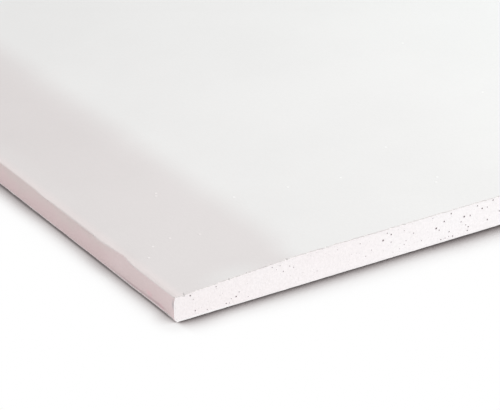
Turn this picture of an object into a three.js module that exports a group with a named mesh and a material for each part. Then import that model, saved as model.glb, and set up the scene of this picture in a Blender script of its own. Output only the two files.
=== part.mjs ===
// Drywall sheet with tapered long edges, lying on its back with the finished face up.
//
// Millimetres. +X runs across the width, +Y along the length and +Z up through the face.
// The origin is the middle of the back, on the plane that the sheet lies on.
//
// The sheet is a laminate of three pieces. The gypsum core is cast between two paper liners.
// The face paper covers the top, turns down both long edges (+X and -X) and is folded in
// under the core. The back paper closes the underside and laps over the two folds.
// The two short edges (+Y and -Y) are cut square through all three, so the core shows there.

import * as THREE from "three";

// The whole sheet
const sheetWidth = 1200;
const sheetLength = 2400;
const sheetThickness = 12.5;

// The paper liners
const facePaperThickness = 0.4;
const backPaperThickness = 0.4;

// The tapered long edges. The taper is the recess that joint tape and filler are laid in.
const taperWidth = 49; // from the long edge in to the knee
const taperDepth = 2.35; // how far the long edge lies below the face
const kneeRadius = 340; // rounds the knee, where the taper leaves the flat of the face
const upperArrisRadius = 0.8; // outside of the fold between the taper and the long edge
const lowerArrisRadius = 2; // outside of the fold between the long edge and the back
const foldWidth = 25; // face paper turned in under the core, from the long edge
const backPaperInset = 1.2; // from the long edge in to the back paper's own edge

// Each arc of the section is drawn as twice this many straight steps.
const arcDivisions = 8;

const quarterTurn = Math.PI / 2;
const longEdge = sheetWidth / 2;
const foldEnd = longEdge - foldWidth;
const kneePlace = longEdge - taperWidth;
const taperAngle = Math.atan(taperDepth / taperWidth);

// Height of the taper's slope at a distance x from the middle of the sheet.
function taperHeight(x) {
  return sheetThickness - (x - kneePlace) * Math.tan(taperAngle);
}

// Centres of the three arcs. Each arc is tangent to the flats on both of its sides.
const kneeCentre = new THREE.Vector2(
  kneePlace - kneeRadius * Math.tan(taperAngle / 2),
  sheetThickness - kneeRadius,
);
const upperArrisCentre = new THREE.Vector2(
  longEdge - upperArrisRadius,
  taperHeight(longEdge - upperArrisRadius) - upperArrisRadius / Math.cos(taperAngle),
);
const lowerArrisCentre = new THREE.Vector2(
  longEdge - lowerArrisRadius,
  backPaperThickness + lowerArrisRadius,
);

// The line round the long edge at +X, from the knee down to the end of the fold.
// It runs inside the paper's outer surface by the given depth, so that the paper's inner
// surface and the gypsum cast against it are one and the same line.
function lineRoundEdge(depth) {
  const line = new THREE.Path();
  line.absarc(
    kneeCentre.x,
    kneeCentre.y,
    kneeRadius - depth,
    quarterTurn,
    quarterTurn - taperAngle,
    true,
  );
  line.absarc(
    upperArrisCentre.x,
    upperArrisCentre.y,
    upperArrisRadius - depth,
    quarterTurn - taperAngle,
    0,
    true,
  );
  line.absarc(
    lowerArrisCentre.x,
    lowerArrisCentre.y,
    lowerArrisRadius - depth,
    0,
    -quarterTurn,
    true,
  );
  line.lineTo(foldEnd, backPaperThickness + depth);
  return line.getPoints(arcDivisions);
}

function mirrored(points) {
  return points.map((point) => new THREE.Vector2(-point.x, point.y)).reverse();
}

// The whole line, from the fold at -X over the face to the fold at +X.
function lineOverSheet(depth) {
  const line = lineRoundEdge(depth);
  return [...mirrored(line), ...line];
}

// The core fills the paper's wrap. Between the two folds it reaches down to the back paper.
function coreSection() {
  return new THREE.Shape([
    ...lineOverSheet(facePaperThickness),
    new THREE.Vector2(foldEnd, backPaperThickness),
    new THREE.Vector2(-foldEnd, backPaperThickness),
  ]);
}

function facePaperSection() {
  return new THREE.Shape([
    ...lineOverSheet(0),
    ...lineOverSheet(facePaperThickness).reverse(),
  ]);
}

function backPaperSection() {
  const side = longEdge - backPaperInset;
  return new THREE.Shape([
    new THREE.Vector2(-side, 0),
    new THREE.Vector2(side, 0),
    new THREE.Vector2(side, backPaperThickness),
    new THREE.Vector2(-side, backPaperThickness),
  ]);
}

// Runs a section along the whole sheet.
function layer(name, section, material) {
  const geometry = new THREE.ExtrudeGeometry(section, {
    depth: sheetLength,
    bevelEnabled: false,
  });
  const mesh = new THREE.Mesh(geometry, material);
  mesh.name = name;
  return mesh;
}

const gypsum = new THREE.MeshStandardMaterial({
  color: 0xf4f0f0,
  roughness: 0.95,
  metalness: 0,
});
const facePaper = new THREE.MeshStandardMaterial({
  color: 0xe9e8e6,
  roughness: 0.8,
  metalness: 0,
});
const backPaper = new THREE.MeshStandardMaterial({
  color: 0xc6bdb2,
  roughness: 0.9,
  metalness: 0,
});

// The sections are drawn upright, so the sheet is turned to lie along Y and centred on it.
const sheet = new THREE.Group();
sheet.name = "drywall_sheet";
sheet.rotation.x = quarterTurn;
sheet.position.y = sheetLength / 2;
sheet.add(
  layer("gypsum_core", coreSection(), gypsum),
  layer("face_paper", facePaperSection(), facePaper),
  layer("back_paper", backPaperSection(), backPaper),
);

const group = new THREE.Group();
group.add(sheet);

export default group;
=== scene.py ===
"""Drywall sheet with tapered long edges: gypsum core, wrapped face liner and back liner.

The sheet lies on its back. X runs across it, Y along it and Z up through its face, in metres,
with the origin in the middle of the back.
"""

import math
import random

import bmesh
import bpy
from mathutils import Euler, Matrix, Vector


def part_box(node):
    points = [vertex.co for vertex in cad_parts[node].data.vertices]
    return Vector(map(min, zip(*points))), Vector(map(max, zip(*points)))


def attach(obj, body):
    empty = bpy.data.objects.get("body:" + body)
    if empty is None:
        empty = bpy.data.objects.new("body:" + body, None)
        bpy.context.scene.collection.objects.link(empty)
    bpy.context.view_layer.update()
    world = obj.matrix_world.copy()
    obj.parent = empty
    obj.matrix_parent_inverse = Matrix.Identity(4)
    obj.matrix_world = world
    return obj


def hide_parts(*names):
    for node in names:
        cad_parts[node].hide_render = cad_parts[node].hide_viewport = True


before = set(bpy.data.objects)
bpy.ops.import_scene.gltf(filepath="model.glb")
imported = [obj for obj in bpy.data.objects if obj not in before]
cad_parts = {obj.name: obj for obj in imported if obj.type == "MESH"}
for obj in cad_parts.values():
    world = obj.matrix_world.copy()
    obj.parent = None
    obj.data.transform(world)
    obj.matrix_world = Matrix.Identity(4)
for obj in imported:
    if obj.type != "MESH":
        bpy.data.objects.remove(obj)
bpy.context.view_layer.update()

bl_info = {
    "name": "Drywall Sheet",
    "version": (1, 0, 0),
    "blender": (4, 5, 0),
    "location": "View3D > Sidebar > Drywall",
    "description": "Builds a paper-lined gypsum board with tapered edges on its studio floor",
    "category": "Add Mesh",
}

MM = 0.001

# Boxes of the frame's own pieces, which the modelled ones stand for
CORE_LOW, CORE_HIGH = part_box("gypsum_core")
WRAP_LOW, WRAP_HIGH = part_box("face_paper")
BACK_LOW, BACK_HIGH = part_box("back_paper")


# ---------------------------------------------------------------- settings


def length(name, default, description, **limits):
    return bpy.props.FloatProperty(
        name=name, description=description, default=default, unit="LENGTH",
        precision=5, min=0.0, **limits)


def angle(name, degrees, description):
    return bpy.props.FloatProperty(
        name=name, description=description, default=math.radians(degrees), subtype="ANGLE")


def colour(name, rgb, description):
    return bpy.props.FloatVectorProperty(
        name=name, description=description, default=rgb, subtype="COLOR", size=3,
        min=0.0, max=1.0)


def strength(name, default, description):
    return bpy.props.FloatProperty(name=name, description=description, default=default, min=0.0)


def amount(name, default, description):
    return bpy.props.IntProperty(name=name, description=description, default=default, min=0)


class DRYWALL_PG_section(bpy.types.PropertyGroup):
    """Sizes of the sheet's section."""

    paper: length("Face paper", WRAP_HIGH.z - CORE_HIGH.z, "Thickness of the face paper")
    taper_width: length("Taper width", 49 * MM, "From the long edge in to the knee")
    taper_depth: length("Taper depth", 2.35 * MM, "How far the long edge lies below the face")
    knee_radius: length("Knee radius", 340 * MM, "Rounds the start of the taper")
    upper_arris: length("Upper arris", 0.8 * MM, "Outer radius between the taper and the long edge")
    lower_arris: length("Lower arris", 2 * MM, "Outer radius between the long edge and the back")
    fold_width: length("Fold width", 25 * MM, "Face paper turned in under the core")


class DRYWALL_PG_wear(bpy.types.PropertyGroup):
    """Unevenness of the papers and the sawn gypsum."""

    wave: length("Wave", 0.16 * MM, "How far the wrapped edges wander inwards")
    wave_size: length("Wave size", 45 * MM, "Length of one wander")
    scuff: length("Scuff", 0.22 * MM, "Depth of the rubbing along the arrises")
    scuff_size: length("Scuff size", 4 * MM, "Length of one rubbed spot")
    fray: length("Fray", 0.6 * MM, "How raggedly the saw has left the paper")
    fray_size: length("Fray size", 1.6 * MM, "Length of one tuft of the frayed paper")
    deckle: length("Deckle", 0.5 * MM, "How raggedly the sides of the back paper run")
    deckle_size: length("Deckle size", 6 * MM, "Length of one bay in those sides")
    pore_radius: length("Pore radius", 0.38 * MM, "Radius of a large pore")
    chip_radius: length("Chip radius", 0.75 * MM, "Half the length of a large chip")
    seed: amount("Seed", 11, "Start of the random places")


class DRYWALL_PG_finish(bpy.types.PropertyGroup):
    """Colours of the three layers."""

    # Painted shade: the face paper darkens from the middle of the sheet towards the tapers
    face: colour("Face paper", (0.838, 0.852, 0.842), "Paper on the flat of the face")
    face_side_shade: colour("Sides of the face", (0.783, 0.779, 0.772), "Paper next to the tapers")
    # Painted shade: the taper's paper is greyer, for the shade of its slope
    taper: colour("Taper", (0.721, 0.689, 0.684), "Paper burnished in the taper")
    # Painted shade: the taper grows darker further from the sawn ends
    taper_far_shade: colour("Worn taper", (0.704, 0.668, 0.663), "Taper further from the ends")
    # Partly pinker paper, partly a painted highlight where the arris turns to the light
    arris: colour("Upper arris", (0.768, 0.705, 0.698), "Paper along the upper arris")
    wrap: colour("Wrapped edge", (0.775, 0.668, 0.653), "Paper on the long edge")
    wrap_flush: colour("Flush of the edge", (0.808, 0.652, 0.656), "Pinker clouds on the long edge")
    # Painted light: the foot of the long edge is lighter, against the shade that falls there
    wrap_foot_lit: colour("Foot of the edge", (1.000, 0.885, 0.895), "Rubbed paper at the foot")
    # Painted light: the long edge is lighter next to the sawn ends
    wrap_end_lit: colour("Ends of the edge", (0.836, 0.697, 0.699), "Long edge next to the ends")
    stain: colour("Stain", (0.900, 0.600, 0.645), "Pink stain low on the edge, near the corner")
    # Painted shade along the creases low on the edge, near the corner
    crease_shade: colour("Crease", (0.640, 0.510, 0.525), "Crease low on the edge, near the corner")
    paper_edge: colour("Cut paper", (0.73, 0.71, 0.70), "Cut edge of the paper")
    gypsum: colour("Gypsum", (0.914, 0.890, 0.896), "Sawn gypsum")
    gypsum_warm: colour("Warm gypsum", (0.908, 0.860, 0.864), "Gypsum along the long edges")
    # Partly gypsum dust, partly painted light against the shade at the foot of the ends
    dust: colour("Dust", (0.975, 0.950, 0.955), "Gypsum dust on the cut paper")
    pore: colour("Pores", (0.58, 0.53, 0.54), "Inside of the gypsum's pores")
    back: colour("Back paper", (0.56, 0.51, 0.45), "Liner on the back")
    back_fibre: colour("Back fibres", (0.36, 0.32, 0.28), "Darker fibres in the back liner")


class DRYWALL_PG_stage(bpy.types.PropertyGroup):
    """Camera and light."""

    corner_to_camera: bpy.props.FloatVectorProperty(
        name="Camera from corner", description="From the foot of the corner at -X and -Y",
        default=(-0.41177, -0.69408, 0.44121), subtype="TRANSLATION", precision=4)
    heading: angle("Heading", 32.588, "Camera's turn to the right of +Y")
    dip: angle("Dip", 26.061, "Camera's tilt below the horizon")
    lens: bpy.props.FloatProperty(
        name="Lens", description="Focal length", default=186.48, unit="CAMERA")
    key: strength("Key", 1.42, "Strength of the key lamp")
    fill: strength("Fill", 0.31, "Power of the soft lamp over the near corner")
    sky: strength("Sky", 0.78, "Strength of the even light")


# ---------------------------------------------------------------- modelling helpers


MOST_PARTS = 100  # that an edge is divided into at once


def deselect_all():
    bpy.ops.object.select_all(action="DESELECT")


def activate(piece):
    deselect_all()
    piece.select_set(True)
    bpy.context.view_layer.objects.active = piece


def new_block(name, low, high):
    """A cube primitive that fills the box between two corners."""
    deselect_all()
    bpy.ops.mesh.primitive_cube_add(size=1, location=(low + high) / 2)
    piece = bpy.context.active_object
    piece.scale = high - low
    bpy.ops.object.transform_apply(location=True, rotation=True, scale=True)
    piece.name = piece.data.name = name
    return piece


def edit(piece):
    activate(piece)
    bpy.ops.object.mode_set(mode="EDIT")


def leave_edit():
    bpy.ops.object.mode_set(mode="OBJECT")


def select(piece, kind, test):
    """In edit mode, selects the vertices, edges or faces that pass the test, and only those."""
    bpy.ops.mesh.select_mode(type=kind)
    bpy.ops.mesh.select_all(action="DESELECT")
    mesh = bmesh.from_edit_mesh(piece.data)
    items = {"VERT": mesh.verts, "EDGE": mesh.edges, "FACE": mesh.faces}[kind]
    for item in items:
        if test(item):
            item.select_set(True)
    mesh.select_flush_mode()
    bmesh.update_edit_mesh(piece.data)


def cut(piece, place, normal, test=lambda face: True, **options):
    """Bisects the faces that pass the test."""
    select(piece, "FACE", test)
    bpy.ops.mesh.bisect(plane_co=place, plane_no=normal, threshold=1e-7, **options)


def runs_along(edge, axis):
    first, second = (vertex.co for vertex in edge.verts)
    line = (second - first).normalized()
    return abs(line[axis]) > 0.999


def middle(edge):
    first, second = (vertex.co for vertex in edge.verts)
    return (first + second) / 2


def near(value, target, slack=0.01 * MM):
    return abs(value - target) < slack


def divide(piece, test, cuts):
    """Divides the edges that pass the test, and the faces between them."""
    select(piece, "EDGE", test)
    bpy.ops.mesh.subdivide(number_cuts=cuts)


def divide_to(piece, test, step):
    """Divides the edges that pass the test until none is much longer than the step."""
    while True:
        mesh = bmesh.from_edit_mesh(piece.data)
        longest = max(edge.calc_length() for edge in mesh.edges if test(edge))
        if longest < 1.5 * step:
            return
        parts = min(MOST_PARTS, round(longest / step))
        divide(piece, lambda edge: test(edge) and edge.calc_length() > longest / 2, parts - 1)


def apply_modifier(piece, kind, **settings):
    """Gives the piece a modifier with these settings and applies it."""
    activate(piece)
    modifier = piece.modifiers.new(kind.title(), kind)
    for setting, value in settings.items():
        setattr(modifier, setting, value)
    bpy.ops.object.modifier_apply(modifier=modifier.name)


def clouds(name, size):
    """The pattern that surfaces are roughened by, with clouds of about the given size."""
    texture = bpy.data.textures.new(name, "CLOUDS")
    texture.noise_scale = size
    texture.noise_depth = 2
    texture.contrast = 1.4
    return texture


def group_of(piece, name, test):
    """A vertex group of the vertices whose place passes the test."""
    group = piece.vertex_groups.new(name=name)
    group.add([vertex.index for vertex in piece.data.vertices if test(vertex.co)], 1.0, "REPLACE")
    return group.name


def roughen(piece, name, depth, size, test, direction="NORMAL", least=0.0):
    """Moves part of a piece by a cloudy pattern, never by less than a share of the depth."""
    apply_modifier(
        piece, "DISPLACE", texture=clouds(name, size), texture_coords="LOCAL",
        direction=direction, strength=depth, mid_level=-least,
        vertex_group=group_of(piece, name, test))


def carve(piece, cutter):
    """Takes the cutter's shape out of the piece, and then the cutter out of the scene."""
    before = len(piece.data.vertices)
    apply_modifier(piece, "BOOLEAN", operation="DIFFERENCE", object=cutter,
                   solver="MANIFOLD", material_mode="TRANSFER")
    bpy.data.objects.remove(cutter)
    if len(piece.data.vertices) <= before:
        raise RuntimeError(piece.name + " was not carved")


def smooth(piece):
    activate(piece)
    bpy.ops.object.shade_smooth_by_angle(angle=math.radians(30))


def finish_piece(piece, node):
    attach(piece, "root")
    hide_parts(node)


# ---------------------------------------------------------------- the section


# How the wrapped skin is divided: steps round each arc, rows across the sheet, which lie closer
# in the zones at its ends, rows along each long edge, and columns beside it, by their distances
# from the core's side in millimetres
ARC_STEPS = 6
ROW_CUTS = MOST_PARTS - 1
END_ZONE = 150 * MM
LEG_CUTS = 4
COLUMNS = (1, 2, 3, 4.1, 4.4, 6, 12)

# The worn corner at -X and -Y, in millimetres. Knocks of the upper arris: distance from the sawn
# end, depth and reach. Rubs of it: from and to, as distances from the end, and depth. Bends of
# the upper edge of the end: distance from the long edge, depth and reach. Creases of the lower
# arris: from and to, degrees down round the arris, how far inwards and down, and reach.
CORNER_KNOCKS = (
    (0.0, 0.14, 2.0), (20.0, 0.07, 6.0), (30.0, 0.14, 6.0), (33.0, 0.38, 6.0), (36.0, 0.72, 6.0),
    (39.0, 1.05, 6.0), (42.0, 0.68, 6.0), (45.0, 0.52, 6.0), (48.0, 0.30, 6.0), (60.0, 0.26, 6.0),
    (63.0, 0.20, 6.0),
)
CORNER_RUBS = ((65, 138, 0.13), (66, 92, 0.10), (105, 138, 0.26))
RUB_STEP = 4
RUB_REACH = 8.0
CORNER_BENDS = ((2.0, 0.05, 0.6), (3.0, 0.2, 0.9), (4.1, 0.5, 0.28))
CORNER_CREASES = (
    (8, 24, 30, 0.25, 0.0, 0.6), (24, 42, 30, 0.20, 0.0, 0.6), (0, 14, 60, 0.12, 0.0, 1.0),
    (14, 30, 60, 0.20, 0.0, 1.0), (30, 43, 60, 0.30, 0.0, 1.0), (0, 1.5, 45, 0.0, 0.35, 1.0),
)

# A knock moves the arris within this radius as a whole, and down by a share of its depth.
KNOCK_WIDTH = 1.2 * MM
KNOCK_DROP = 0.15


def wrapped_skin(name, section, wear):
    """The surface that paper and gypsum share, open at both ends.

    It has the two tapers, the four rounded arrises and the rebates for the folds, and carries
    the knocks and the unevenness, so that the paper lies on the gypsum all over.
    """
    paper = section.paper
    slope = math.atan(section.taper_depth / section.taper_width)
    side = CORE_HIGH.x
    top = CORE_HIGH.z
    rebate = BACK_HIGH.z + paper
    fold_end = WRAP_HIGH.x - section.fold_width
    knee = WRAP_HIGH.x - section.taper_width - paper * math.tan(slope / 2)
    shoulder = top - (side - knee) * math.tan(slope)

    skin = new_block(name, Vector((-side, CORE_LOW.y, rebate)), CORE_HIGH)
    edit(skin)
    for across in (-1, 1):
        cut(skin, (across * knee, 0, 0), (1, 0, 0), lambda face: face.normal.z > 0.5)
    select(skin, "VERT", lambda vert: near(abs(vert.co.x), side) and near(vert.co.z, top))
    bpy.ops.transform.translate(value=(0, 0, shoulder - top))

    for across in (-1, 1):
        cut(skin, (across * fold_end, 0, 0), (1, 0, 0), lambda face: face.normal.z < -0.5)
    select(skin, "FACE", lambda face: (
        face.normal.z < -0.5 and abs(face.calc_center_median().x) < fold_end))
    bpy.ops.mesh.extrude_region_move(TRANSFORM_OT_translate={"value": (0, 0, -paper)})
    select(skin, "FACE", lambda face: abs(face.normal.y) > 0.5)
    bpy.ops.mesh.delete(type="FACE")

    def round_edges(test, radius, turn):
        select(skin, "EDGE", lambda edge: runs_along(edge, 1) and test(middle(edge)))
        bpy.ops.mesh.bevel(
            offset=radius * math.tan(turn / 2), segments=ARC_STEPS, profile=0.5,
            affect="EDGES", clamp_overlap=False)

    quarter = math.pi / 2
    round_edges(lambda at: near(abs(at.x), knee) and near(at.z, top),
                section.knee_radius - paper, slope)
    round_edges(lambda at: near(abs(at.x), side) and near(at.z, shoulder),
                section.upper_arris - paper, quarter - slope)
    round_edges(lambda at: near(abs(at.x), side) and near(at.z, rebate),
                section.lower_arris - paper, quarter)

    zone = CORE_HIGH.y - END_ZONE
    for along in (-1, 1):
        cut(skin, (0, along * zone, 0), (0, 1, 0))
    divide(skin, lambda edge: runs_along(edge, 1) and abs(middle(edge).y) > zone, ROW_CUTS)
    divide(skin, lambda edge: runs_along(edge, 1) and abs(middle(edge).y) < zone, ROW_CUTS)
    divide(skin, lambda edge: runs_along(edge, 1) and abs(middle(edge).y) < zone, 1)
    divide(skin, lambda edge: near(abs(middle(edge).x), side) and runs_along(edge, 2), LEG_CUTS)
    for across in (-1, 1):
        for inboard in COLUMNS:
            cut(skin, (across * (side - inboard * MM), 0, 0), (1, 0, 0),
                lambda face: face.normal.z > 0.5)

    for across, along, depth, reach in knocks(wear):
        place = Vector((across * side, along, shoulder))
        press(skin, lambda at: (at - place).length < KNOCK_WIDTH,
              depth * Vector((-across, 0, -KNOCK_DROP)), reach)
    mid_leg = rebate + 3 * MM
    for inboard, depth, reach in CORNER_BENDS:
        x = -side + inboard * MM
        press(skin, lambda at: near(at.x, x) and near(at.y, -CORE_HIGH.y) and at.z > mid_leg,
              Vector((0, 0, -depth * MM)), reach * MM)
    for first, last, turn, inwards, down, reach in CORNER_CREASES:
        x = -side + (section.lower_arris - paper) * (1 - math.cos(math.radians(turn)))
        start = -CORE_HIGH.y + (first - 0.1) * MM
        stop = -CORE_HIGH.y + (last + 0.1) * MM
        press(skin, lambda at: near(at.x, x, 0.1 * MM) and start < at.y < stop and at.z < mid_leg,
              Vector((inwards * MM, 0, -down * MM)), reach * MM)
    leave_edit()

    def on_arris(at):
        on_leg = rebate + 2 * MM < at.z < shoulder - 1 * MM
        return abs(at.x) > side - 0.5 * MM and not on_leg

    roughen(skin, "edge_wave", -wear.wave, wear.wave_size, lambda at: abs(at.x) > knee)
    roughen(skin, "arris_scuff", -wear.scuff, wear.scuff_size, on_arris)
    return skin


def knocks(wear):
    """Knocks of the upper arrises near the corners: side, place along, depth and reach."""
    end = CORE_HIGH.y
    corner = list(CORNER_KNOCKS)
    for first, last, depth in CORNER_RUBS:
        corner += [(distance, depth, RUB_REACH) for distance in range(first, last, RUB_STEP)]
    found = [(-1, -end + distance * MM, depth * MM, reach * MM)
             for distance, depth, reach in corner]
    chance = random.Random(wear.seed)
    for across, along in ((-1, 1), (1, -1), (1, 1)):
        for step in range(9):
            distance = chance.uniform(1, 16) + 14 * step
            found.append((across, along * (end - distance * MM),
                          chance.uniform(0.06, 0.3) * MM, chance.uniform(3.5, 6.5) * MM))
    return found


def press(piece, test, push, reach):
    """Pushes the vertices whose place passes the test, and what lies within reach with them."""
    select(piece, "VERT", lambda vert: test(vert.co))
    bpy.ops.transform.translate(
        value=push, use_proportional_edit=True, proportional_edit_falloff="SHARP",
        proportional_size=reach)


# ---------------------------------------------------------------- cutters for the sawn ends


# Two lumps that overlap can't be carved. They are this many times their radii apart.
CLEARANCE = 1.9
# A pore's mouth is narrower than the lump that is carved there.
LUMP_PER_MOUTH = 1.2
# Thickness of the back paper in millimetres, which the listed pores are measured from
BACK_PAPER = 0.4


def new_lump(name, material):
    """A rough pebble of unit radius, which pores and chips are copied from."""
    deselect_all()
    bpy.ops.mesh.primitive_ico_sphere_add(subdivisions=2, radius=1)
    lump = bpy.context.active_object
    lump.name = lump.data.name = name
    lump.data.materials.append(material)
    apply_modifier(lump, "DISPLACE", texture=clouds(name, 0.9), texture_coords="LOCAL",
                   strength=0.5, mid_level=0.5)
    return lump


def scatter(lump, places):
    """Copies the lump to each place, at each size and turn, and joins the copies."""
    copies = []
    for place, size, turn in places:
        copy = lump.copy()
        copy.data = lump.data.copy()
        copy.matrix_world = (
            Matrix.Translation(place) @ Matrix.Diagonal((*size, 1)) @ turn.to_matrix().to_4x4())
        bpy.context.collection.objects.link(copy)
        copies.append(copy)
    bpy.data.objects.remove(lump)
    deselect_all()
    for copy in copies:
        copy.select_set(True)
    bpy.context.view_layer.objects.active = copies[0]
    bpy.ops.object.join()
    bpy.ops.object.transform_apply(location=True, rotation=True, scale=True)
    return bpy.context.active_object


def any_turn(chance):
    """A turn about all three axes."""
    return Euler([chance.uniform(0, 2 * math.pi) for axis in range(3)])


# Large pores near the corner at -X and -Y, in millimetres: from the long edge, above the back
# paper, and radius of the mouth
CORNER_PORES = (
    (90.4, 7.9, 0.40), (114.8, 6.3, 0.42), (121.6, 10.7, 0.40), (6.8, 8.8, 0.36),
    (94.0, 9.4, 0.34), (129.9, 3.0, 0.33), (118.4, 8.2, 0.37), (127.8, 7.8, 0.39),
    (26.0, 2.9, 0.29), (136.2, 9.0, 0.39), (129.5, 1.5, 0.30), (141.3, 11.2, 0.33),
    (138.9, 3.6, 0.38), (92.2, 10.4, 0.29), (46.2, 7.4, 0.25), (130.6, 7.5, 0.34),
    (8.8, 2.2, 0.28), (21.8, 1.3, 0.24), (120.9, 3.3, 0.29), (94.1, 6.2, 0.24),
    (128.6, 4.1, 0.26), (31.1, 1.4, 0.20), (116.2, 5.2, 0.24), (104.3, 7.2, 0.22),
    (17.6, 9.3, 0.24), (49.0, 8.8, 0.18), (80.0, 9.4, 0.20), (99.9, 9.4, 0.19),
    (113.0, 10.9, 0.18), (41.4, 10.3, 0.18), (13.8, 1.2, 0.20), (126.4, 5.9, 0.27),
    (100.1, 3.6, 0.21), (61.0, 3.4, 0.18), (23.1, 1.1, 0.20), (27.3, 4.4, 0.20),
    (24.0, 2.6, 0.18), (50.7, 7.8, 0.22), (44.8, 10.1, 0.18), (117.1, 1.0, 0.24),
    (119.1, 1.1, 0.22), (120.8, 1.3, 0.20), (122.6, 1.0, 0.27), (108.1, 3.0, 0.18),
    (85.2, 5.3, 0.22), (82.7, 3.5, 0.20), (69.8, 9.7, 0.16), (100.9, 5.0, 0.20),
    (133.9, 10.7, 0.25), (138.7, 8.9, 0.23), (144.5, 5.8, 0.30),
)

# Chips in the upper edge there, in millimetres: from the long edge, and half their length
CORNER_CHIPS = (
    (9.4, 0.5), (13.0, 0.35), (17.5, 0.4), (23.0, 0.7), (26.5, 0.5), (30.5, 0.65), (36.0, 0.35),
    (42.5, 0.5), (47.6, 0.8), (51.0, 0.45), (57.0, 0.4), (65.0, 0.6), (73.5, 0.35), (80.5, 0.3),
    (86.5, 0.3), (93.0, 0.35), (102.0, 0.55), (111.0, 0.35), (125.3, 0.5), (130.5, 0.3),
    (141.0, 0.35),
)

# From the long edge to where those lists end
CORNER_REACH = 145 * MM


def upper_edge(section, x):
    """Height of the face at a distance from the middle of the sheet."""
    return WRAP_HIGH.z - max(0.0, abs(x) - (WRAP_HIGH.x - section.taper_width)) * (
        section.taper_depth / section.taper_width)


def pore_places(section, wear):
    """Place, size and turn of each pore: the listed ones, and clusters along both ends."""
    chance = random.Random(wear.seed + 1)
    places = []

    def add(along, x, z, radius):
        """Keeps a pore if it is clear of the others."""
        here = Vector((x, along * CORE_HIGH.y, z))
        for other, size, turn in places:
            if (other - here).length < CLEARANCE * (radius + max(size)):
                return
        places.append((here, [radius * chance.uniform(0.75, 1.15) for axis in range(3)],
                       any_turn(chance)))

    for x, z, radius in CORNER_PORES:
        add(-1, WRAP_LOW.x + x * MM, (z + BACK_PAPER) * MM, LUMP_PER_MOUTH * radius * MM)
    for along in (-1, 1):
        x = WRAP_LOW.x
        while x < WRAP_HIGH.x:
            x += chance.uniform(2, 22) * MM
            z = chance.uniform(1.5, 10) * MM
            for pore in range(chance.randint(1, 16)):
                here_x = x + chance.gauss(0, 7) * MM
                here_z = z + chance.gauss(0, 3) * MM
                radius = wear.pore_radius * min(1.1, chance.lognormvariate(-1.0, 0.4))
                if along < 0 and here_x < WRAP_LOW.x + CORNER_REACH:
                    radius *= 0.6  # because the large pores there are listed
                if abs(here_x) > CORE_HIGH.x - 1 * MM:
                    continue
                if 1.0 * MM < here_z < upper_edge(section, here_x) - 0.9 * MM:
                    add(along, here_x, here_z, radius)
    return places


def chip_places(section, wear):
    """Place, size and turn of each chip along the upper edges of both ends."""
    chance = random.Random(wear.seed + 2)
    spots = [(-1, WRAP_LOW.x + x * MM, radius * MM) for x, radius in CORNER_CHIPS]
    for along in (-1, 1):
        x = WRAP_LOW.x + (CORNER_REACH if along < 0 else 5 * MM)
        while x < WRAP_HIGH.x - 3 * MM:
            spots.append((along, x, wear.chip_radius * chance.uniform(0.35, 1.0)))
            x += chance.uniform(4, 30) * MM
    return [(Vector((x, along * CORE_HIGH.y, upper_edge(section, x) - 0.05 * MM)),
             (radius, radius * chance.uniform(0.6, 1.1), radius * chance.uniform(0.5, 0.9)),
             any_turn(chance)) for along, x, radius in spots]


# ---------------------------------------------------------------- operators


# The gypsum's sawn ends stand this far back from those of the papers
SAW_SETBACK = 0.02 * MM


class DRYWALL_OT_core(bpy.types.Operator):
    """Models the gypsum core with its sawn ends"""

    bl_idname = "drywall.core"
    bl_label = "Gypsum Core"

    def execute(self, context):
        section = context.scene.drywall_section
        wear = context.scene.drywall_wear
        finish = context.scene.drywall_finish
        core = wrapped_skin("cast_core", section, wear)
        edit(core)
        for end in (CORE_LOW.y, CORE_HIGH.y):
            along = math.copysign(1, end)
            sawn = end - along * SAW_SETBACK
            cut(core, (0, sawn, 0), (0, along, 0), clear_outer=True)
            select(core, "EDGE", lambda edge: (
                edge.is_boundary and near(middle(edge).y, sawn)))
            bpy.ops.mesh.edge_face_add()
        leave_edit()
        gypsum = gypsum_material(finish, section)
        core.data.materials.append(gypsum)
        carve(core, scatter(new_lump("chip", gypsum), chip_places(section, wear)))
        carve(core, scatter(new_lump("pore", pore_material(finish)), pore_places(section, wear)))
        smooth(core)
        finish_piece(core, "gypsum_core")
        return {"FINISHED"}


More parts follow.
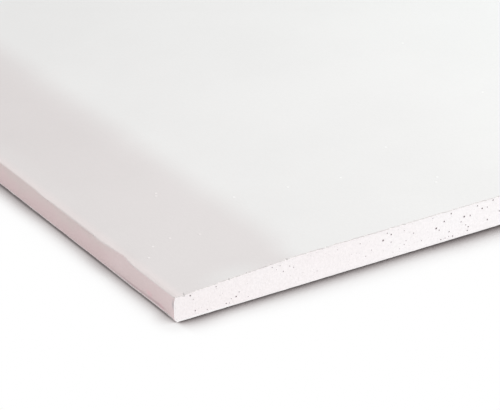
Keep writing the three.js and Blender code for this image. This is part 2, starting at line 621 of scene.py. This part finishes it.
class DRYWALL_OT_face_liner(bpy.types.Operator):
    """Models the face paper, wrapped round both long edges and folded under"""

    bl_idname = "drywall.face_liner"
    bl_label = "Face Liner"

    def execute(self, context):
        section = context.scene.drywall_section
        wear = context.scene.drywall_wear
        finish = context.scene.drywall_finish
        liner = wrapped_skin("face_liner", section, wear)
        under_folds = BACK_HIGH.z + 0.5 * section.paper
        edit(liner)
        select(liner, "FACE", lambda face: min(vert.co.z for vert in face.verts) < under_folds)
        bpy.ops.mesh.delete(type="FACE")
        for end in (CORE_LOW.y, CORE_HIGH.y):
            divide_to(liner, lambda edge: near(middle(edge).y, end) and not runs_along(edge, 1),
                      0.5 * wear.fray_size)
        leave_edit()
        leg_top = CORE_HIGH.z - section.taper_depth - 0.5 * MM
        for end in (CORE_LOW.y, CORE_HIGH.y):
            inwards = math.copysign(1, -end)
            roughen(liner, "frayed_top", inwards * wear.fray, wear.fray_size,
                    lambda at: near(at.y, end) and at.z > leg_top, direction="Y", least=0.1)
            roughen(liner, "frayed_leg", inwards * 0.2 * wear.fray, wear.fray_size,
                    lambda at: near(at.y, end) and at.z <= leg_top, direction="Y", least=0.1)
        cut_paper = cut_paper_material(finish)
        liner.data.materials.append(face_paper_material(finish, section))
        liner.data.materials.append(cut_paper)
        apply_modifier(liner, "SOLIDIFY", thickness=section.paper, offset=1.0,
                       use_even_offset=True, material_offset_rim=1)

        # Paper that this moves past the saw cut is pressed flush with it
        edit(liner)
        for end in (WRAP_LOW.y, WRAP_HIGH.y):
            select(liner, "VERT", lambda vert: vert.co.y / end > 1)
            bpy.ops.transform.resize(value=(1, 0, 1), center_override=(0, end, 0))
        leave_edit()
        carve(liner, scatter(new_lump("torn", cut_paper), chip_places(section, wear)))
        smooth(liner)
        finish_piece(liner, "face_paper")
        return {"FINISHED"}


class DRYWALL_OT_back_liner(bpy.types.Operator):
    """Models the liner on the back, with its deckled sides"""

    bl_idname = "drywall.back_liner"
    bl_label = "Back Liner"

    def execute(self, context):
        wear = context.scene.drywall_wear
        finish = context.scene.drywall_finish
        liner = new_block("back_liner", BACK_LOW, BACK_HIGH)

        # Only the rim is divided and roughened, and then both flats are filled
        edit(liner)
        select(liner, "FACE", lambda face: abs(face.normal.z) > 0.5)
        bpy.ops.mesh.delete(type="FACE")
        for axis, step in ((1, 4 * MM), (0, 2 * MM)):
            divide_to(liner, lambda edge: runs_along(edge, axis), step)
        leave_edit()
        near_end = BACK_HIGH.y - 5 * MM
        for across in (-1, 1):
            roughen(liner, "deckle", -across * wear.deckle, wear.deckle_size,
                    lambda at: near(at.x, across * BACK_HIGH.x) and abs(at.y) < near_end,
                    direction="X", least=0.05)
        for along in (-1, 1):
            roughen(liner, "frayed_end", -along * 0.35 * wear.fray, wear.fray_size,
                    lambda at: near(at.y, along * BACK_HIGH.y), direction="Y", least=0.5)
        liner.data.materials.append(back_paper_material(finish))
        liner.data.materials.append(cut_paper_material(finish))
        edit(liner)
        for height in (BACK_LOW.z, BACK_HIGH.z):
            select(liner, "EDGE", lambda edge: near(middle(edge).z, height))
            bpy.ops.mesh.edge_face_add()
        select(liner, "FACE", lambda face: True)
        bpy.ops.mesh.normals_make_consistent(inside=False)
        select(liner, "FACE", lambda face: abs(face.normal.z) < 0.5)
        liner.active_material_index = 1
        bpy.ops.object.material_slot_assign()
        leave_edit()
        smooth(liner)
        finish_piece(liner, "back_paper")
        return {"FINISHED"}


class DRYWALL_OT_stage(bpy.types.Operator):
    """Sets the floor, the light and the camera"""

    bl_idname = "drywall.stage"
    bl_label = "Stage"

    def execute(self, context):
        stage = context.scene.drywall_stage
        build_floor()
        build_lights(context.scene, stage)
        build_camera(context.scene, stage)
        context.scene.view_settings.view_transform = "Standard"
        return {"FINISHED"}


# ---------------------------------------------------------------- shader helpers


def new_material(name, roughness, specular):
    material = bpy.data.materials.new(name)
    material.use_nodes = True
    tree = material.node_tree
    shader = tree.nodes["Principled BSDF"]
    shader.inputs["Roughness"].default_value = roughness
    shader.inputs["Specular IOR Level"].default_value = specular
    return material, tree, shader


def add_node(tree, kind, inputs=None, **settings):
    """A shader node with its settings. An input is a plain value, or another node's socket."""
    node = tree.nodes.new(kind)
    for setting, value in settings.items():
        setattr(node, setting, value)
    for socket, value in (inputs or {}).items():
        if isinstance(value, bpy.types.NodeSocket):
            tree.links.new(value, node.inputs[socket])
        else:
            node.inputs[socket].default_value = value
    return node


def opaque(rgb):
    return (*rgb, 1.0)


def calculate(tree, operation, first, second=0.0):
    return add_node(tree, "ShaderNodeMath", {0: first, 1: second}, operation=operation).outputs[0]


def total(tree, first, *others):
    for other in others:
        first = calculate(tree, "ADD", first, other)
    return first


def product(tree, first, *others):
    for other in others:
        first = calculate(tree, "MULTIPLY", first, other)
    return first


def follow(tree, value, start, end, low=0.0, high=1.0, kind="LINEAR"):
    """Goes from low to high as the value goes from start to end, and no further."""
    return add_node(tree, "ShaderNodeMapRange", {
        "Value": value, "From Min": start, "From Max": end, "To Min": low, "To Max": high},
        interpolation_type=kind).outputs[0]


def ramp(tree, value, start, end, low=0.0, high=1.0):
    """A soft step from low to high as the value goes from start to end."""
    return follow(tree, value, start, end, low, high, "SMOOTHSTEP")


def blend(tree, factor, first, second, kind="MIX"):
    node = add_node(tree, "ShaderNodeMix", {0: factor, 6: first, 7: second},
                    data_type="RGBA", blend_type=kind)
    return node.outputs[2]


def shaded(tree, tone, shade):
    """A tone made darker or lighter by a factor."""
    grey = add_node(tree, "ShaderNodeCombineColor", {0: shade, 1: shade, 2: shade}).outputs[0]
    return blend(tree, 1.0, tone, grey, "MULTIPLY")


def paint(tree, shader, tone):
    tree.links.new(tone, shader.inputs["Base Color"])


def places(tree, stretch=(1, 1, 1)):
    """Object coordinates in metres, stretched for patterns that run one way."""
    coordinates = add_node(tree, "ShaderNodeTexCoord").outputs["Object"]
    return add_node(tree, "ShaderNodeMapping", {"Vector": coordinates, "Scale": stretch}).outputs[0]


def place_on(tree, axis):
    """Place on one axis, in metres. On Z it is the height over the back."""
    return add_node(tree, "ShaderNodeSeparateXYZ", {0: places(tree)}).outputs[axis]


def from_long_edge(tree):
    """Distance in from the nearer long edge."""
    across = calculate(tree, "ABSOLUTE", place_on(tree, "X"))
    return calculate(tree, "SUBTRACT", WRAP_HIGH.x, across)


def from_sawn_end(tree):
    """Distance in from the nearer sawn end."""
    along = calculate(tree, "ABSOLUTE", place_on(tree, "Y"))
    return calculate(tree, "SUBTRACT", WRAP_HIGH.y, along)


def below_face(tree, section):
    """Depth below the flat of the face and the flat of the taper."""
    climb = product(tree, from_long_edge(tree), section.taper_depth / section.taper_width)
    climb = calculate(tree, "MINIMUM", climb, section.taper_depth)
    face = total(tree, climb, WRAP_HIGH.z - section.taper_depth)
    return calculate(tree, "SUBTRACT", face, place_on(tree, "Z"))


def noise(tree, where, size, detail=3.0, roughness=0.5):
    """Cloudy noise from 0 to 1, with blotches of about the given size."""
    return add_node(tree, "ShaderNodeTexNoise", {
        "Vector": where, "Scale": 1 / size, "Detail": detail, "Roughness": roughness}).outputs[0]


def wander(tree, cloud, width):
    """Strays to either side by half the width, as the cloud does about its middle."""
    return product(tree, calculate(tree, "SUBTRACT", cloud, 0.5), width)


def specks(tree, where, spacing, radius, share):
    """1 inside small round dots, which stand in only a share of the cells of a grid."""
    cells = add_node(tree, "ShaderNodeTexVoronoi", {"Vector": where, "Scale": 1 / spacing})
    inside = ramp(tree, cells.outputs["Distance"], radius / spacing, 0.4 * radius / spacing)
    pick = add_node(tree, "ShaderNodeSeparateColor", {0: cells.outputs["Color"]}).outputs[0]
    return product(tree, inside, calculate(tree, "LESS_THAN", pick, share))


def spot(tree, place, stretch, radius):
    """1 at a place and 0 from a radius on, which the stretch makes shorter along each axis."""
    centre = [part * scale for part, scale in zip(place, stretch)]
    apart = add_node(tree, "ShaderNodeVectorMath", {0: places(tree, stretch), 1: centre},
                     operation="DISTANCE").outputs["Value"]
    return ramp(tree, apart, radius, 0.0)


def bump(tree, shader, height, depth, share):
    node = add_node(tree, "ShaderNodeBump", {
        "Height": height, "Distance": depth, "Strength": share})
    tree.links.new(node.outputs[0], shader.inputs["Normal"])


def seen_directly(tree):
    """1 for what the camera sees itself, in a mirror or through glass, and 0 for other light."""
    path = add_node(tree, "ShaderNodeLightPath")
    seen = calculate(tree, "MAXIMUM", path.outputs["Is Camera Ray"], path.outputs["Is Glossy Ray"])
    return calculate(tree, "MAXIMUM", seen, path.outputs["Is Transmission Ray"])


# ---------------------------------------------------------------- materials


def gypsum_material(finish, section):
    """Sawn gypsum: faint clouds, warmer along the long edges, with pits, grains and saw marks."""
    material, tree, shader = new_material("Sawn gypsum", 0.95, 0.2)
    where = places(tree)
    cloud = ramp(tree, noise(tree, where, 28 * MM), 0.3, 0.7, 0.25, 0.75)
    beside_edge = ramp(tree, from_long_edge(tree), 130 * MM, 10 * MM, -0.25, 0.4)
    warm = total(tree, cloud, beside_edge)
    tone = blend(tree, warm, opaque(finish.gypsum), opaque(finish.gypsum_warm))

    grain = noise(tree, where, 0.9 * MM, 4.0, 0.65)
    # Pits, sunk by the bump and painted darker as shade in them
    pits = specks(tree, where, 1.3 * MM, 0.22 * MM, 0.35)
    grains = specks(tree, where, 4.1 * MM, 0.4 * MM, 0.5)
    # Painted shade just under the face paper, at the top of the sawn end
    rim = ramp(tree, below_face(tree, section), 1.6 * MM, 0.4 * MM)
    shade = product(
        tree, ramp(tree, grain, 0.25, 0.75, 0.955, 1.03), ramp(tree, pits, 0, 1, 1.0, 0.82),
        ramp(tree, grains, 0, 1, 1.0, 1.06), ramp(tree, rim, 0, 1, 1.0, 0.985))
    paint(tree, shader, shaded(tree, tone, shade))

    marks = noise(tree, places(tree, (1, 1, 0.2)), 0.5 * MM, 3.0, 0.6)
    relief = total(tree, grain, product(tree, marks, 0.5))
    bump(tree, shader, calculate(tree, "SUBTRACT", relief, pits), 0.09 * MM, 0.6)
    return material


def pore_material(finish):
    """Shaded gypsum inside the pores."""
    material, tree, shader = new_material("Pores", 1.0, 0.0)
    spots = ramp(tree, noise(tree, places(tree), 0.4 * MM), 0.3, 0.7)
    dark = [0.8 * part for part in finish.pore]
    paint(tree, shader, blend(tree, spots, opaque(dark), opaque(finish.pore)))
    return material


# Marks of the paper near the corner at -X and -Y, in millimetres. Loose fibres on the face: from
# the long edge and from the sawn end. Stains low on the long edge: from the sawn end, above the
# back, and strength. Painted shade along the creases there: from the sawn end, above the back,
# and half its length.
CORNER_FLECKS = (
    (36.4, 73.6), (35.2, 71.6), (32.4, 35.3), (21.9, 39.3), (13.5, 37.4), (8.0, 31.0),
    (58.8, 53.6), (80.9, 49.9), (102.7, 46.0), (133.5, 59.5), (134.2, 26.4), (131.2, 23.0),
    (198.7, 82.3), (201.7, 143.2),
)
CORNER_STAINS = ((9.5, 2.5, 0.9), (17.5, 4.2, 0.55))
CORNER_CREASE_SHADES = ((13, 2.7, 12), (29, 2.25, 22))


def face_tone(tree, finish, cloud):
    """The face, with painted shade beside and on the taper, sharpest at the ends, and the arris."""
    from_edge = from_long_edge(tree)
    from_end = from_sawn_end(tree)
    # Painted shade: darker from the middle of the sheet towards the tapers
    shade_beside_taper = product(tree, ramp(tree, from_edge, 320 * MM, 140 * MM),
                           ramp(tree, from_edge, 180 * MM, 60 * MM, 0.77, 1.0))
    tone = blend(tree, shade_beside_taper, opaque(finish.face), opaque(finish.face_side_shade))

    # Painted shade: the middle of the taper darkens further from the sawn ends
    far_taper_shade = product(tree, ramp(tree, from_edge, 5 * MM, 14 * MM),
                   ramp(tree, from_edge, 48 * MM, 36 * MM), ramp(tree, from_end, 30 * MM, 170 * MM))
    taper = blend(tree, far_taper_shade, opaque(finish.taper), opaque(finish.taper_far_shade))
    # Painted shade on the taper, from its knee outwards
    knee = ramp(tree, from_end, 3 * MM, 18 * MM, 56 * MM, 62 * MM)
    in_taper = ramp(tree, total(tree, from_edge, wander(tree, cloud, 4 * MM)), knee, 43 * MM)
    # Near the corner the taper's painted shade is eased, so the taper is lighter there
    eased_taper_shade = spot(tree, (WRAP_LOW.x + 25 * MM, WRAP_LOW.y, WRAP_HIGH.z), (0.7, 1, 1), 13 * MM)
    in_taper = calculate(tree, "SUBTRACT", in_taper, product(tree, eased_taper_shade, 0.6))
    tone = blend(tree, in_taper, tone, taper)
    # The arris band: partly pinker paper and partly a painted highlight
    return blend(tree, ramp(tree, from_edge, 6 * MM, 0.8 * MM), tone, opaque(finish.arris))


def wrapped_edge_tone(tree, finish):
    """Long edge: pinker clouds low down, painted light at foot and ends, marks near one corner."""
    height = place_on(tree, "Z")
    patches = noise(tree, places(tree), 14 * MM, 3.0, 0.6)
    flush = ramp(tree, total(tree, height, wander(tree, patches, 12 * MM)), 10 * MM, 3.5 * MM)
    tone = blend(tree, flush, opaque(finish.wrap), opaque(finish.wrap_flush))
    # Painted light: lighter near the sawn ends
    lit_at_end = ramp(tree, from_sawn_end(tree), 55 * MM, 38 * MM, 0.0, 0.8)
    tone = blend(tree, lit_at_end, tone, opaque(finish.wrap_end_lit))

    for along, rise, share in CORNER_STAINS:
        place = (WRAP_LOW.x, WRAP_LOW.y + along * MM, rise * MM)
        stain = product(tree, spot(tree, place, (1, 0.8, 1.5), 2.7 * MM), share)
        tone = blend(tree, stain, tone, opaque(finish.stain))
    # A dark upright streak on the long edge, right at the sawn end
    dark_streak = spot(tree, (WRAP_LOW.x, WRAP_LOW.y + 0.7 * MM, 7.1 * MM), (1, 1, 0.4), 1.3 * MM)
    tone = blend(tree, dark_streak, tone, opaque(finish.pore))
    # Painted light at the foot of the long edge, against the shade there
    foot = ramp(tree, height, 2.4 * MM, 0.7 * MM)
    tone = blend(tree, foot, tone, opaque(finish.wrap_foot_lit))
    # Painted shade along the creases low on the edge
    for along, rise, half in CORNER_CREASE_SHADES:
        place = (WRAP_LOW.x + 0.2 * MM, WRAP_LOW.y + along * MM, rise * MM)
        crease_shade_line = spot(tree, place, (1, 1 / half, 1), 1 * MM)
        tone = blend(tree, crease_shade_line, tone, opaque(finish.crease_shade))
    return tone


def loose_flecks(tree, section):
    """1 on loose fibres, strewn over the face and in places of their own near the corner."""
    strewn = specks(tree, places(tree), 34 * MM, 0.8 * MM, 0.4)
    flecks = product(tree, strewn, ramp(tree, from_sawn_end(tree), 150 * MM, 160 * MM))
    for inboard, along in CORNER_FLECKS:
        x = WRAP_LOW.x + inboard * MM
        place = (x, WRAP_LOW.y + along * MM, upper_edge(section, x))
        flecks = calculate(tree, "MAXIMUM", flecks, spot(tree, place, (1, 1, 1), 0.8 * MM))
    return flecks


def face_paper_material(finish, section):
    """Smooth liner paper, with a cloudy formation, fine fibres, loose flecks and painted shade."""
    material, tree, shader = new_material("Face paper", 0.8, 0.25)
    cloud = noise(tree, places(tree), 55 * MM, 3.0, 0.55)
    turned = product(tree, ramp(tree, below_face(tree, section), 0.15 * MM, 0.6 * MM),
                     ramp(tree, from_long_edge(tree), 2.6 * MM, 1.8 * MM))
    tone = blend(tree, turned, face_tone(tree, finish, cloud), wrapped_edge_tone(tree, finish))

    grain = noise(tree, places(tree, (1, 0.35, 1)), 0.7 * MM, 4.0, 0.65)
    flecks = loose_flecks(tree, section)
    # Painted shade: the paper darkens a little away from the sawn ends
    shade = product(
        tree, ramp(tree, cloud, 0.3, 0.7, 0.988, 1.008), ramp(tree, grain, 0.2, 0.8, 0.985, 1.012),
        ramp(tree, from_sawn_end(tree), 60 * MM, 260 * MM, 1.0, 0.985),
        ramp(tree, flecks, 0, 1, 1.0, 1.2))
    paint(tree, shader, shaded(tree, tone, shade))
    bump(tree, shader, total(tree, grain, product(tree, flecks, 7.0)), 0.03 * MM, 0.5)
    tree.links.new(ramp(tree, grain, 0.2, 0.8, 0.74, 0.88), shader.inputs["Roughness"])
    return material


def cut_paper_material(finish):
    """Cut edge of the papers, with plies and painted shade, and at the sawn ends gypsum dust."""
    material, tree, shader = new_material("Cut paper", 0.95, 0.2)
    plies = noise(tree, places(tree, (1, 1, 5)), 0.5 * MM, 3.0, 0.6)
    pale = [min(1.0, 1.08 * part) for part in finish.paper_edge]
    tone = blend(tree, ramp(tree, plies, 0.3, 0.7), opaque(finish.paper_edge), opaque(pale))
    # Painted shade: darker patches along the cut edge, as under loose plies
    ply_shade = ramp(tree, noise(tree, places(tree), 5 * MM, 2.0, 0.6), 0.5, 0.62, 0.0, 0.35)
    tone = blend(tree, ply_shade, tone, opaque(finish.pore))

    # Gypsum dust on the paper of the long edges and of the back, at the sawn ends. It is also
    # painted light: lighter than the gypsum, against the shade at the foot.
    dust_and_foot_light = calculate(tree, "MAXIMUM", ramp(tree, from_long_edge(tree), 1.2 * MM, 0.5 * MM),
                      ramp(tree, place_on(tree, "Z"), 1.4 * MM, 0.9 * MM))
    dust_and_foot_light = product(tree, dust_and_foot_light, ramp(tree, from_sawn_end(tree), 2.5 * MM, 1 * MM))
    paint(tree, shader, blend(tree, dust_and_foot_light, tone, opaque(finish.dust)))
    bump(tree, shader, plies, 0.08 * MM, 0.6)
    return material


def back_paper_material(finish):
    """Rough recycled liner paper, with darker strands and pale flecks."""
    material, tree, shader = new_material("Back paper", 0.9, 0.2)
    where = places(tree)
    cloud = noise(tree, where, 30 * MM)
    strands = noise(tree, places(tree, (1, 0.2, 1)), 0.6 * MM, 4.0, 0.7)
    dark = product(tree, ramp(tree, strands, 0.5, 0.72), ramp(tree, cloud, 0.3, 0.7, 0.4, 0.9))
    tone = blend(tree, dark, opaque(finish.back), opaque(finish.back_fibre))
    flecks = specks(tree, where, 3 * MM, 0.35 * MM, 0.2)
    paint(tree, shader, blend(tree, product(tree, flecks, 0.5), tone, opaque(finish.face)))
    bump(tree, shader, strands, 0.06 * MM, 0.7)
    return material


# ---------------------------------------------------------------- stage


PLAIN_WHITE = (1.0, 1.0, 1.0, 1.0)
FLOOR_WHITE = (0.85, 0.85, 0.85, 1.0)
FLOOR_WIDTH = 60
SHADOW_TINT = (1.0, 0.86, 0.86, 1.0)
SHADOW_REACH = 0.1
SHADOW_LEAN = 0.18
KEY_FROM = Vector((0.85, -0.40, 0.45))
KEY_SPREAD = math.radians(20)
FILL_PLACE = (-0.30, -1.22, 0.36)
FILL_WIDTH = 0.4


def contact_shadow(tree):
    """The floor's level of white, from 1 in the open down to its least right under the sheet.

    It follows the share of open sky over the floor, which is taken with a normal that leans away
    from the sheet's long edges, because the light reaches further in there.
    """
    across = place_on(tree, "X")
    outside = ramp(tree, calculate(tree, "ABSOLUTE", across), WRAP_HIGH.x - 3 * MM, WRAP_HIGH.x)
    folded = add_node(tree, "ShaderNodeVectorMath", {0: places(tree)}, operation="ABSOLUTE")
    from_corner = add_node(tree, "ShaderNodeVectorMath", {
        0: folded.outputs[0], 1: (WRAP_HIGH.x, WRAP_HIGH.y, 0)},
        operation="DISTANCE").outputs["Value"]

    def either(at_ends, at_sides):
        """One value before the sawn ends and another beside the long edges."""
        return ramp(tree, outside, 0, 1, at_ends, at_sides)

    def away(start, end, low, high):
        """Goes from low to high between two distances from the nearest corner, in millimetres."""
        return ramp(tree, from_corner, start * MM, end * MM, low, high)

    lean = follow(tree, across, WRAP_LOW.x, WRAP_HIGH.x, -SHADOW_LEAN, SHADOW_LEAN)
    normal = add_node(tree, "ShaderNodeCombineXYZ", {"X": lean, "Z": 1.0}).outputs[0]
    open_sky = add_node(tree, "ShaderNodeAmbientOcclusion", {
        "Distance": SHADOW_REACH, "Normal": normal}, samples=16).outputs["AO"]

    # The shares of open sky between which the shadow fades, and how fast it does
    closed = either(0.5, 0.45)
    full = total(tree, either(0.88, 0.915), away(24, 0, 0, either(0.18, 0.02)),
                 away(12, 2, 0, either(0, 0.12)))
    speed = either(away(100, 125, 1.0, 1.18),
                   total(tree, away(60, 25, 1.33, 1.17), away(92, 116, 0, 0.6)))
    share = calculate(tree, "POWER", follow(tree, open_sky, closed, full), speed)

    # Its half-shadow is deeper than that in places
    half_shadow = product(tree, ramp(tree, share, 0.13, 0.42), ramp(tree, share, 0.70, 0.42))
    deeper = either(away(105, 130, 0, 0.05),
                    calculate(tree, "SUBTRACT", away(10, 40, 0, 0.14), away(45, 70, 0, 0.11)))
    share = calculate(tree, "SUBTRACT", share, product(tree, half_shadow, deeper))
    least = either(0.045, total(tree, away(150, 0, 0.20, 0.22), away(7, 1, 0, 0.15)))
    return calculate(tree, "SINE", follow(tree, share, 0, 1, least, math.pi / 2))


def build_floor():
    deselect_all()
    bpy.ops.mesh.primitive_plane_add(size=FLOOR_WIDTH)
    floor = bpy.context.active_object
    floor.name = "floor"
    material, tree, shader = new_material("Studio floor", 1.0, 0.0)
    shader.inputs["Base Color"].default_value = FLOOR_WHITE
    level = contact_shadow(tree)
    tint = blend(tree, level, SHADOW_TINT, PLAIN_WHITE)
    glow = add_node(tree, "ShaderNodeEmission", {"Color": tint, "Strength": level})
    mixed = add_node(tree, "ShaderNodeMixShader", {
        0: seen_directly(tree), 1: shader.outputs[0], 2: glow.outputs[0]})
    tree.links.new(mixed.outputs[0], tree.nodes["Material Output"].inputs["Surface"])
    floor.data.materials.append(material)


def build_lights(scene, stage):
    world = bpy.data.worlds.new("Studio")
    scene.world = world
    world.use_nodes = True
    tree = world.node_tree
    background = tree.nodes["Background"]
    background.inputs["Color"].default_value = PLAIN_WHITE
    level = follow(tree, seen_directly(tree), 0, 1, stage.sky, 1.0)
    tree.links.new(level, background.inputs["Strength"])

    deselect_all()
    bpy.ops.object.light_add(type="SUN")
    key = bpy.context.active_object
    key.name = "key_lamp"
    key.data.energy = stage.key
    key.data.angle = KEY_SPREAD
    key.rotation_euler = KEY_FROM.to_track_quat("Z", "Y").to_euler()

    deselect_all()
    bpy.ops.object.light_add(type="AREA", location=FILL_PLACE)
    fill = bpy.context.active_object
    fill.name = "fill_lamp"
    fill.data.energy = stage.fill
    fill.data.shape = "DISK"
    fill.data.size = FILL_WIDTH
    fill.visible_camera = False


def build_camera(scene, stage):
    deselect_all()
    corner = Vector((WRAP_LOW.x, WRAP_LOW.y, 0))
    bpy.ops.object.camera_add(
        location=corner + Vector(stage.corner_to_camera),
        rotation=(math.pi / 2 - stage.dip, 0, -stage.heading))
    camera = bpy.context.active_object
    camera.name = "camera"
    camera.data.lens = stage.lens
    camera.data.sensor_width = 36
    camera.data.clip_start = 0.01
    camera.data.clip_end = 200
    scene.camera = camera


# ---------------------------------------------------------------- panel and registration


class DRYWALL_PT_panel(bpy.types.Panel):
    """Sizes, finishes and steps of the drywall sheet"""

    bl_idname = "DRYWALL_PT_panel"
    bl_label = "Drywall Sheet"
    bl_space_type = "VIEW_3D"
    bl_region_type = "UI"
    bl_category = "Drywall"

    def draw(self, context):
        layout = self.layout
        for group in SETTINGS:
            settings = getattr(context.scene, group)
            box = layout.box()
            for name in settings.__annotations__:
                box.prop(settings, name)
        for step in STEPS:
            layout.operator(step.bl_idname)


STEPS = (DRYWALL_OT_stage, DRYWALL_OT_core, DRYWALL_OT_face_liner, DRYWALL_OT_back_liner)
SETTINGS = {
    "drywall_section": DRYWALL_PG_section,
    "drywall_wear": DRYWALL_PG_wear,
    "drywall_finish": DRYWALL_PG_finish,
    "drywall_stage": DRYWALL_PG_stage,
}


def register():
    for each in (*SETTINGS.values(), *STEPS, DRYWALL_PT_panel):
        bpy.utils.register_class(each)
    for name, group in SETTINGS.items():
        setattr(bpy.types.Scene, name, bpy.props.PointerProperty(type=group))


def unregister():
    for name in SETTINGS:
        delattr(bpy.types.Scene, name)
    for each in reversed((*SETTINGS.values(), *STEPS, DRYWALL_PT_panel)):
        bpy.utils.unregister_class(each)


def main():
    register()
    bpy.ops.drywall.stage()
    bpy.ops.drywall.core()
    bpy.ops.drywall.face_liner()
    bpy.ops.drywall.back_liner()


if __name__ == "__main__":
    main()
